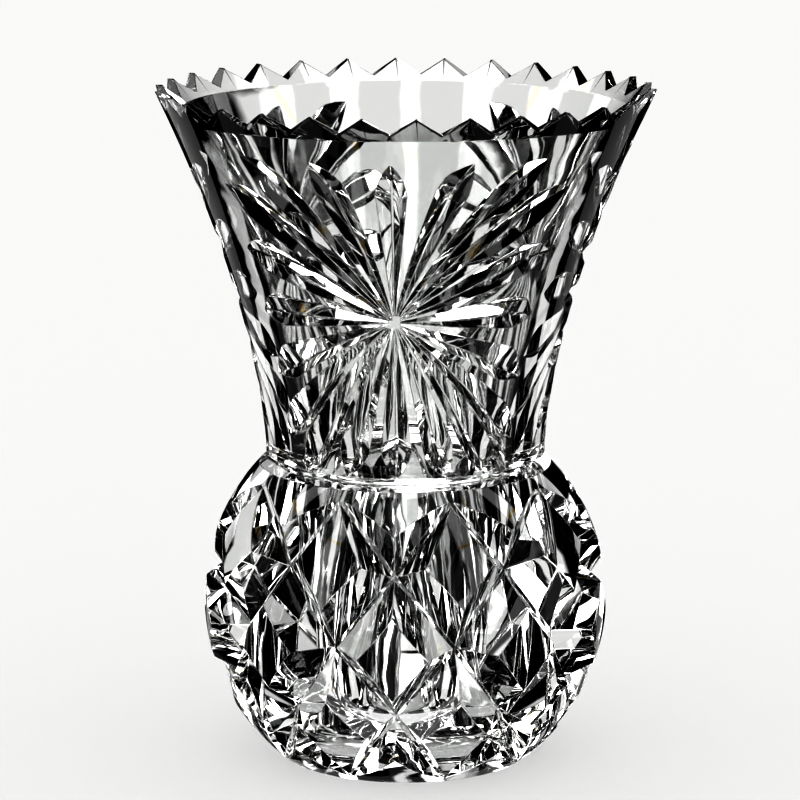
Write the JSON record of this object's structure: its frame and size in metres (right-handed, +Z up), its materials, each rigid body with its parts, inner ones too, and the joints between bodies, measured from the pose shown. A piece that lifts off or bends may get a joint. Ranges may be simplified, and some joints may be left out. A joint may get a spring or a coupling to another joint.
{
  "type": "cut crystal vase",
  "caption": "Flared cut crystal vase with a sawtooth rim, star-cut bowl and diamond-cut bulb on a flat foot.",
  "frame": {"origin": "centre of the flat foot, on the surface that the vase stands on", "axes": "+Z up along the axis of the vase, -Y towards the middle of one star panel"},
  "size_m": [0.11, 0.1094, 0.15],
  "materials": {
    "bowl_crystal": "clear lead crystal, cut and polished",
    "bulb_crystal": "clear lead crystal, cut and polished"
  },
  "bodies": {
    "root": {"flared_bowl": "bowl_crystal", "bulb_base": "bulb_crystal"}
  },
  "joints": []
}
